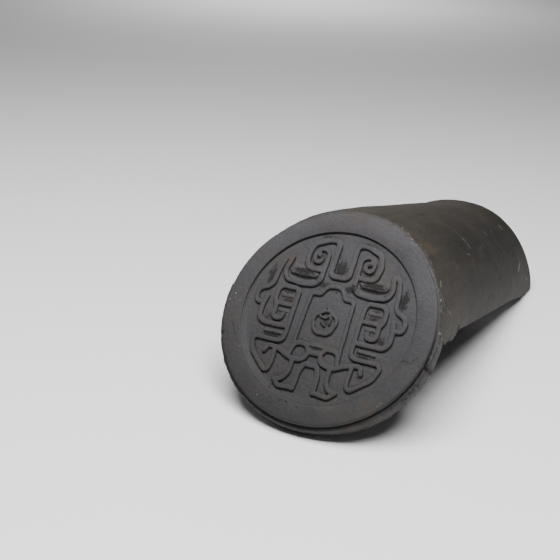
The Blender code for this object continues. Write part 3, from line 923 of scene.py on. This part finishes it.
class NodeBench:
    """Short ways to add shader nodes and join them."""

    def __init__(self, tree):
        self.tree = tree

    def add(self, kind, **settings):
        node = self.tree.nodes.new(kind)
        for key, value in settings.items():
            setattr(node, key, value)
        return node

    def set(self, node, socket, value):
        if isinstance(value, bpy.types.NodeSocket):
            self.tree.links.new(value, node.inputs[socket])
        else:
            node.inputs[socket].default_value = value

    def math(self, operation, *values, clamp=False):
        node = self.add("ShaderNodeMath", operation=operation, use_clamp=clamp)
        for index, value in enumerate(values):
            self.set(node, index, value)
        return node.outputs[0]

    def times(self, first, second):
        return self.math("MULTIPLY", first, second)

    def most(self, first, second):
        return self.math("MAXIMUM", first, second)

    def plus(self, first, second, clamp=False):
        return self.math("ADD", first, second, clamp=clamp)

    def minus(self, first, second):
        return self.math("SUBTRACT", first, second)

    def vector(self, operation, *values, out=0, **named):
        node = self.add("ShaderNodeVectorMath", operation=operation)
        for socket, value in [*enumerate(values), *named.items()]:
            self.set(node, socket, value)
        return node.outputs[out]

    def mix(self, share, first, second, blend="MIX"):
        node = self.add("ShaderNodeMix", data_type="RGBA", blend_type=blend)
        self.set(node, 0, share)
        self.set(node, 6, first)
        self.set(node, 7, second)
        return node.outputs[2]

    def attribute(self, name):
        return self.add("ShaderNodeAttribute", attribute_name=name).outputs["Fac"]

    def noise(self, where, scale, detail=3.0, rough=0.55):
        node = self.add("ShaderNodeTexNoise")
        for socket, value in (("Vector", where), ("Scale", scale), ("Detail", detail), ("Roughness", rough)):
            self.set(node, socket, value)
        return node.outputs["Fac"]

    def spot(self, where, across, along):
        """A place on the surface from two attributes, shaken a little so that marks are ragged."""
        place = self.add("ShaderNodeCombineXYZ")
        self.set(place, 0, self.attribute(across))
        self.set(place, 1, self.attribute(along))
        shaker = self.add("ShaderNodeTexNoise")
        self.set(shaker, "Vector", where)
        self.set(shaker, "Scale", 420.0)
        far = Vector((1.3, 1.3, 0.0)) * MM
        shake = self.vector("MULTIPLY_ADD", shaker.outputs["Color"], far, -far / 2)
        return self.vector("ADD", place.outputs[0], shake)

    def ramp(self, value, low, high, out_low=0.0, out_high=1.0):
        """Soft step of a value from one level to another as it goes from low to high."""
        node = self.add("ShaderNodeMapRange", interpolation_type="SMOOTHSTEP")
        sockets = {"Value": value, "From Min": low, "From Max": high, "To Min": out_low, "To Max": out_high}
        for socket, number in sockets.items():
            self.set(node, socket, number)
        return node.outputs["Result"]


def mark_strength(bench, place, mark, radius=None):
    """How strongly one mark shows. A mark is given by both ends, its width in millimetres and its strength.
    An end is across and up on the face or, with a radius, along and degrees round on the barrel."""
    *ends, width, strength = mark
    a, b = [Vector((*ends[at:at + 2], 0)) * MM for at in (0, 2)]
    if radius:
        a, b = [Vector((math.radians(ends[at + 1]) * radius, ends[at] * MM, 0)) for at in (0, 2)]
    run = b - a
    offset = bench.vector("SUBTRACT", place, a)
    share = bench.vector("DOT_PRODUCT", offset, run / run.length_squared, out="Value")
    nearest = bench.vector("SCALE", run, Scale=bench.plus(share, 0.0, clamp=True))
    way = bench.vector("DISTANCE", offset, nearest, out="Value")
    return bench.ramp(way, width * MM, width * MM * 0.25, 0.0, strength)


def strongest(bench, place, marks, radius=None):
    """The strongest of many marks at a place."""
    shown = [mark_strength(bench, place, mark, radius) for mark in marks]
    return functools.reduce(bench.most, shown)


def grey_clay(clay, radius):
    """Unglazed grey clay: sandy grain, wiping streaks, dark patches and painted shade, pale wear, chips and
    marks.
    """
    material = bpy.data.materials.new("grey_clay_fired")
    material.use_nodes = True
    tree = material.node_tree
    bench = NodeBench(tree)
    shader = tree.nodes["Principled BSDF"]
    where = bench.add("ShaderNodeTexCoord").outputs["Object"]
    face = bench.attribute("face")
    bare = bench.minus(1.0, face)
    cloud = bench.noise(where, 20.0, 4.0, 0.6)
    blotch = bench.noise(where, 85.0, 4.0, 0.65)
    sand = bench.noise(where, 1100.0, 3.0, 0.7)
    speck = bench.noise(where, 480.0, 3.0, 0.6)
    stretched = bench.add("ShaderNodeMapping")
    bench.set(stretched, "Vector", where)
    bench.set(stretched, "Scale", (1.0, 0.09, 0.6))
    streak = bench.noise(stretched.outputs[0], 190.0, 4.0, 0.65)

    # Tone: clouds, blotches, sand and, on the barrel, the streaks of the wiping board
    colour = bench.mix(face, (*clay.barrel, 1), (*clay.face, 1))
    tone = bench.math("MULTIPLY_ADD", cloud, 0.8, 0.6)
    tone = bench.times(tone, bench.math("MULTIPLY_ADD", blotch, 0.5, 0.75))
    tone = bench.times(tone, bench.math("MULTIPLY_ADD", sand, 0.7, 0.65))
    tone = bench.times(tone, bench.math("MULTIPLY_ADD", speck, 0.8, 0.6))
    streaks = bench.times(bench.minus(streak, 0.5), bench.times(bare, 1.1))
    tone = bench.plus(tone, streaks)
    # Painted shade: the face is darker towards its foot, and the barrel along its crest
    painted_shade = bench.times(bench.attribute("low"), bench.times(face, 0.72))
    crest_shade = bench.times(bench.attribute("top"), bench.times(bare, 0.6))
    painted_shade = bench.plus(painted_shade, crest_shade)
    tone = bench.times(tone, bench.minus(1.0, painted_shade))
    grey = bench.add("ShaderNodeCombineColor")
    for socket in ("Red", "Green", "Blue"):
        bench.set(grey, socket, tone)
    colour = bench.mix(1.0, colour, grey.outputs[0], "MULTIPLY")

    # Brown stains: those that were placed, and faint clouds all over
    warm = bench.ramp(bench.noise(where, 34.0, 3.0, 0.6), 0.48, 0.75, 0.0, 0.42)
    rust = bench.most(bench.times(bench.attribute("rust"), 0.6), warm)
    rust = bench.times(rust, bench.ramp(blotch, 0.3, 0.65, 0.3, 1.0))
    colour = bench.mix(rust, colour, (*clay.rust, 1))

    # Dark patches with ragged edges, and painted shade: dark lines at the foot and lower right of the ridges
    ragged = bench.math("MULTIPLY_ADD", bench.minus(speck, 0.5), 3.2, -0.42)
    ragged_patches = bench.math("MULTIPLY_ADD", bench.attribute("dark_marks_and_shade"), 1.45, ragged)
    ragged_patches = bench.ramp(ragged_patches, 0.0, 0.9, 0.0, 0.78)
    ragged_patches = bench.times(ragged_patches, bench.ramp(bench.attribute("dark_marks_and_shade"), 0.02, 0.25))
    # Painted shade: a faint dark line at the foot of every wall, and painted shadow below and right of each
    # line
    foot = bench.ramp(bench.attribute("foot"), -0.22, 0.12)
    toward_light = bench.ramp(bench.attribute("toward_light"), 0.25, -0.35)
    thin = bench.times(foot, bench.ramp(bench.attribute("foot"), 0.75, 0.2, 0.0, 0.3))
    painted_line_shadows = bench.most(bench.times(foot, toward_light), thin)
    painted_crease_shade = bench.most(bench.attribute("painted_crease_shade"), painted_line_shadows)
    painted_crease_shade = bench.times(painted_crease_shade, bench.math("MULTIPLY_ADD", speck, 0.5, 0.65))
    dark_and_painted_shade = bench.most(ragged_patches, bench.ramp(painted_crease_shade, 0.1, 0.75, 0.0, 0.93))
    face_place = bench.spot(where, "across", "up")
    well_on_face = bench.ramp(face, 0.6, 0.95)
    cracked = bench.times(strongest(bench, face_place, FACE_CRACKS), well_on_face)
    dark_and_painted_shade = bench.most(dark_and_painted_shade, cracked)
    colour = bench.mix(dark_and_painted_shade, colour, (*clay.dark_marks_and_shade, 1))

    # Pale wear on the outer edges, and ragged chips and smears along the joint
    worn = bench.times(bench.attribute("wear"), bench.ramp(blotch, 0.4, 0.7, 0.0, 0.35))
    place = bench.spot(where, "arc", "along")
    smear = bench.ramp(bench.noise(place, 330.0, 4.0, 0.7), 0.55, 0.66, 0.0, 0.5)
    worn = bench.most(worn, bench.times(smear, bench.attribute("joint")))
    cells = bench.add("ShaderNodeTexVoronoi", feature="F1")
    bench.set(cells, "Vector", where)
    bench.set(cells, "Scale", 300.0)
    grit = bench.ramp(cells.outputs["Distance"], 0.17, 0.07)
    grit = bench.times(grit, bench.ramp(blotch, 0.56, 0.7))
    worn = bench.most(worn, bench.times(grit, 0.3))
    scratched = strongest(bench, place, BARREL_MARKS, radius)
    scratched = bench.times(scratched, bench.times(bench.attribute("outer"), bare))
    specked = bench.times(strongest(bench, face_place, FACE_SPECKS), well_on_face)
    scratched = bench.most(scratched, specked)
    scratched = bench.times(scratched, bench.ramp(speck, 0.38, 0.55, 0.35, 0.9))
    colour = bench.mix(bench.most(worn, scratched), colour, (*clay.dust, 1))
    bench.set(shader, "Base Color", colour)

    # Roughness, and the fine surface: lumps and streaks, then sand
    rough = bench.math("MULTIPLY_ADD", blotch, 0.22, clay.roughness - 0.11)
    rough = bench.plus(rough, bench.times(sand, 0.12))
    rough = bench.plus(rough, bench.times(dark_and_painted_shade, 0.3), clamp=True)
    bench.set(shader, "Roughness", rough)
    shader.inputs["Metallic"].default_value = 0.0
    shader.inputs["Specular IOR Level"].default_value = 0.32

    lumps = bench.add("ShaderNodeBump")
    lumps.inputs["Strength"].default_value = 0.5
    lumps.inputs["Distance"].default_value = 0.0011
    bench.set(lumps, "Height", bench.plus(blotch, bench.times(streaks, 1.2)))
    fine = bench.add("ShaderNodeBump")
    fine.inputs["Strength"].default_value = 0.6
    fine.inputs["Distance"].default_value = 0.0004
    grains = bench.minus(bench.plus(sand, speck), bench.times(grit, 0.5))
    bench.set(fine, "Height", grains)
    bench.set(fine, "Normal", lumps.outputs[0])
    bench.set(shader, "Normal", fine.outputs[0])
    return material


class OBJECT_OT_eave_tile(bpy.types.Operator):
    """Build the eave tile as one piece of clay"""
    bl_idname = "object.eave_tile"
    bl_label = "Eave tile"

    def execute(self, context):
        sizes = context.scene.eave_tile_sizes
        tile = luted(sizes)
        tile.name = "eave_tile_clay"
        work_by_hand(tile, sizes)
        tile.data.materials.clear()
        tile.data.materials.append(grey_clay(context.scene.eave_tile_clay, sizes.radius))
        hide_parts("eave_tile")
        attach(tile, "root")
        return {"FINISHED"}


def look(eye, heading, pitch, roll):
    """Camera placement from its place, compass heading, downward pitch and roll."""
    turn = Matrix.Rotation(heading, 3, "Z") @ Matrix.Rotation(-pitch, 3, "X") @ Matrix.Rotation(roll, 3, "Y")
    right, forward, up = turn.col[0], turn.col[1], turn.col[2]
    return Matrix((
        (right.x, up.x, -forward.x, eye.x),
        (right.y, up.y, -forward.y, eye.y),
        (right.z, up.z, -forward.z, eye.z),
        (0, 0, 0, 1),
    ))


def soft_light(name, place, target, size, power):
    """A round white light at a place, aimed at a target."""
    lamp = bpy.data.lights.new(name, "AREA")
    lamp.shape = "DISK"
    lamp.size = size
    lamp.energy = power
    made = bpy.data.objects.new(name, lamp)
    bpy.context.scene.collection.objects.link(made)
    place = Vector(place)
    aim = (Vector(target) - place).to_track_quat("-Z", "Y")
    made.matrix_world = Matrix.Translation(place) @ aim.to_matrix().to_4x4()
    return made


class OBJECT_OT_eave_tile_studio(bpy.types.Operator):
    """Lay the pale floor, and set the soft lights and the camera"""
    bl_idname = "object.eave_tile_studio"
    bl_label = "Studio"

    def execute(self, context):
        scene = context.scene
        studio = scene.eave_tile_studio
        bm = bmesh.new()
        bmesh.ops.create_grid(bm, x_segments=1, y_segments=1, size=6.0)
        floor = new_object("floor", bm)
        paper = bpy.data.materials.new("pale_floor")
        paper.use_nodes = True
        shader = paper.node_tree.nodes["Principled BSDF"]
        shader.inputs["Base Color"].default_value = (*studio.floor, 1)
        shader.inputs["Roughness"].default_value = 0.85
        shader.inputs["Specular IOR Level"].default_value = 0.2
        floor.data.materials.append(paper)

        world = bpy.data.worlds.new("even_light")
        world.use_nodes = True
        back = world.node_tree.nodes["Background"]
        back.inputs["Color"].default_value = (0.93, 0.95, 1.0, 1)
        back.inputs["Strength"].default_value = studio.sky
        scene.world = world
        soft_light("key", (0.0, -0.45, 1.45), (0.1, -1.0, 0.0), 1.1, studio.key)
        soft_light("side", (0.58, -0.5, 1.45), (0.17, -0.6, 0.0), 0.5, studio.side)
        soft_light("back", (-1.15, 2.1, 0.9), (-1.15, 2.1, 0.0), 0.6, studio.back)

        end = standing(scene.eave_tile_sizes).translation
        lens = bpy.data.cameras.new("camera")
        lens.sensor_width = 36.0
        lens.lens = studio.lens
        lens.clip_start = 0.01
        lens.clip_end = 50.0
        camera = bpy.data.objects.new("camera", lens)
        scene.collection.objects.link(camera)
        camera.matrix_world = look(end + Vector(CAMERA_PLACE), *CAMERA_TURNS)
        scene.camera = camera
        return {"FINISHED"}


class VIEW3D_PT_eave_tile(bpy.types.Panel):
    """Sizes, clay and studio of the eave tile"""
    bl_label = "Eave tile"
    bl_idname = "VIEW3D_PT_eave_tile"
    bl_space_type = "VIEW_3D"
    bl_region_type = "UI"
    bl_category = "Eave tile"

    def draw(self, context):
        scene = context.scene
        for group in (scene.eave_tile_sizes, scene.eave_tile_clay, scene.eave_tile_studio):
            box = self.layout.box()
            for name in group.bl_rna.properties.keys():
                if name not in {"rna_type", "name"}:
                    box.prop(group, name)
        self.layout.operator("object.eave_tile")
        self.layout.operator("object.eave_tile_studio")


CLASSES = (EaveTileSizes, EaveTileClay, EaveTileStudio, OBJECT_OT_eave_tile, OBJECT_OT_eave_tile_studio,
           VIEW3D_PT_eave_tile)


def register():
    for kind in CLASSES:
        bpy.utils.register_class(kind)
    bpy.types.Scene.eave_tile_sizes = bpy.props.PointerProperty(type=EaveTileSizes)
    bpy.types.Scene.eave_tile_clay = bpy.props.PointerProperty(type=EaveTileClay)
    bpy.types.Scene.eave_tile_studio = bpy.props.PointerProperty(type=EaveTileStudio)


def unregister():
    del bpy.types.Scene.eave_tile_studio
    del bpy.types.Scene.eave_tile_clay
    del bpy.types.Scene.eave_tile_sizes
    for kind in reversed(CLASSES):
        bpy.utils.unregister_class(kind)


def main():
    register()
    bpy.ops.object.eave_tile()
    bpy.ops.object.eave_tile_studio()


if __name__ == "__main__":
    main()
